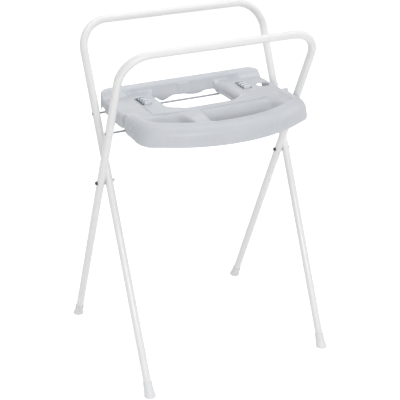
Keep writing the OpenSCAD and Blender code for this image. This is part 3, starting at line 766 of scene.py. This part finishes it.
# material and width of the broken edges
CARRIED = {
    "front_rod": (ZINC, 0.0003), "rear_rod": (ZINC, 0.0003),
    "pivot_bolt_left": (BLACK, 0.0004), "pivot_bolt_right": (BLACK, 0.0004),
    "pivot_nut_left": (NUT_ZINC, 0.0004), "pivot_nut_right": (NUT_ZINC, 0.0004),
    "pivot_spacer_left": (SPACER_GREY, 0.0003), "pivot_spacer_right": (SPACER_GREY, 0.0003),
    "catch_keeper_left": (KEEPER_GREY, 0.0004), "catch_keeper_right": (KEEPER_GREY, 0.0004),
    "keeper_screws_left": (NUT_ZINC, 0.0002), "keeper_screws_right": (NUT_ZINC, 0.0002),
}
for node, (material, edge) in CARRIED.items():
    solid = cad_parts[node]
    solid.data.materials.clear()
    solid.data.materials.append(material)
    joined = solid.modifiers.new("weld", "WELD")
    joined.merge_threshold = 0.00001
    bevel = solid.modifiers.new("broken_edges", "BEVEL")
    bevel.width = edge
    bevel.segments = 2
    bevel.limit_method = "ANGLE"
    bevel.angle_limit = math.radians(40)


# ---- floor, light and camera ----------------------------------------------------------

def rays(nodes, links, *kinds):
    """1 for light rays of any of these kinds, and 0 for all others."""
    path = nodes.new("ShaderNodeLightPath")
    any_kind = path.outputs[kinds[0]]
    for kind in kinds[1:]:
        either = nodes.new("ShaderNodeMath")
        either.operation = "MAXIMUM"
        links.new(any_kind, either.inputs[0])
        links.new(path.outputs[kind], either.inputs[1])
        any_kind = either.outputs["Value"]
    return any_kind


def floor():
    """A pale floor that shows white to the camera and keeps the soft contact shadows."""
    bpy.ops.mesh.primitive_plane_add(size=60, location=(0, 0, -0.0005))
    plane = bpy.context.object
    plane.name = "floor"
    material = bpy.data.materials.new("pale_floor")
    material.use_nodes = True
    nodes, links = material.node_tree.nodes, material.node_tree.links
    shader = nodes["Principled BSDF"]
    shader.inputs["Base Color"].default_value = (0.80, 0.80, 0.80, 1)
    shader.inputs["Roughness"].default_value = 0.9
    shader.inputs["Specular IOR Level"].default_value = 0.1
    shader.inputs["Emission Color"].default_value = (1, 1, 1, 1)
    glow = nodes.new("ShaderNodeMath")
    glow.operation = "MULTIPLY"
    glow.inputs[1].default_value = 0.58
    links.new(rays(nodes, links, "Is Camera Ray", "Is Glossy Ray"), glow.inputs[0])
    links.new(glow.outputs["Value"], shader.inputs["Emission Strength"])
    plane.data.materials.append(material)


def surroundings():
    """White to the camera and in reflections, and a quieter fill light for everything else."""
    world = bpy.data.worlds.new("surroundings")
    bpy.context.scene.world = world
    world.use_nodes = True
    nodes, links = world.node_tree.nodes, world.node_tree.links
    background = nodes["Background"]
    background.inputs["Color"].default_value = (1, 1, 1, 1)
    strength = nodes.new("ShaderNodeMapRange")
    strength.inputs["To Min"].default_value = 0.50
    strength.inputs["To Max"].default_value = 1.0
    links.new(rays(nodes, links, "Is Camera Ray", "Is Glossy Ray", "Is Transmission Ray"),
              strength.inputs["Value"])
    links.new(strength.outputs["Result"], background.inputs["Strength"])


def softbox(name, place, target, size, power):
    light = bpy.data.lights.new(name, "AREA")
    light.shape = "RECTANGLE"
    light.size, light.size_y = size
    light.energy = power
    obj = placed(name, light)
    obj.location = place
    obj.rotation_euler = (Vector(target) - Vector(place)).to_track_quat("-Z", "Y").to_euler()


def photo_camera():
    """The photograph's viewpoint, found from the feet, the pivots and the top bars."""
    turn, tilt, roll = math.radians(-26.59), math.radians(25.15), math.radians(-0.18)
    place = Vector((-1.18093, -2.38051, 1.68907))
    ahead = Vector((-math.sin(turn) * math.cos(tilt), math.cos(turn) * math.cos(tilt),
                    -math.sin(tilt)))
    right = Vector((math.cos(turn), math.sin(turn), 0))
    down = ahead.cross(right)
    right, down = (math.cos(roll) * right + math.sin(roll) * down,
                   math.cos(roll) * down - math.sin(roll) * right)
    data = bpy.data.cameras.new("photo_camera")
    data.sensor_width = 36
    data.lens = 89.4
    data.shift_y = 0.0035
    data.clip_start, data.clip_end = 0.05, 80
    camera = placed("photo_camera", data)
    axes = Matrix((right, -down, -ahead)).transposed().to_4x4()
    camera.matrix_world = Matrix.Translation(place) @ axes
    bpy.context.scene.camera = camera


floor()
surroundings()
softbox("key", place=(-0.9, -3.3, 1.33), target=(0, 0, 0.70), size=(1.6, 0.5), power=37)
softbox("top", place=(0.3, 0.1, 3.4), target=(0, 0, 0.5), size=(2.6, 2.6), power=33)
softbox("side", place=(3.0, -0.6, 1.7), target=(0, 0, 0.5), size=(1.6, 2.2), power=12)
softbox("left", place=(-3.0, 0.4, 1.6), target=(0, 0, 0.5), size=(1.4, 2.2), power=3)
softbox("back", place=(0.6, 3.2, 1.9), target=(0, 0, 0.5), size=(2.2, 1.6), power=9)
photo_camera()
bpy.context.scene.view_settings.view_transform = "Standard"
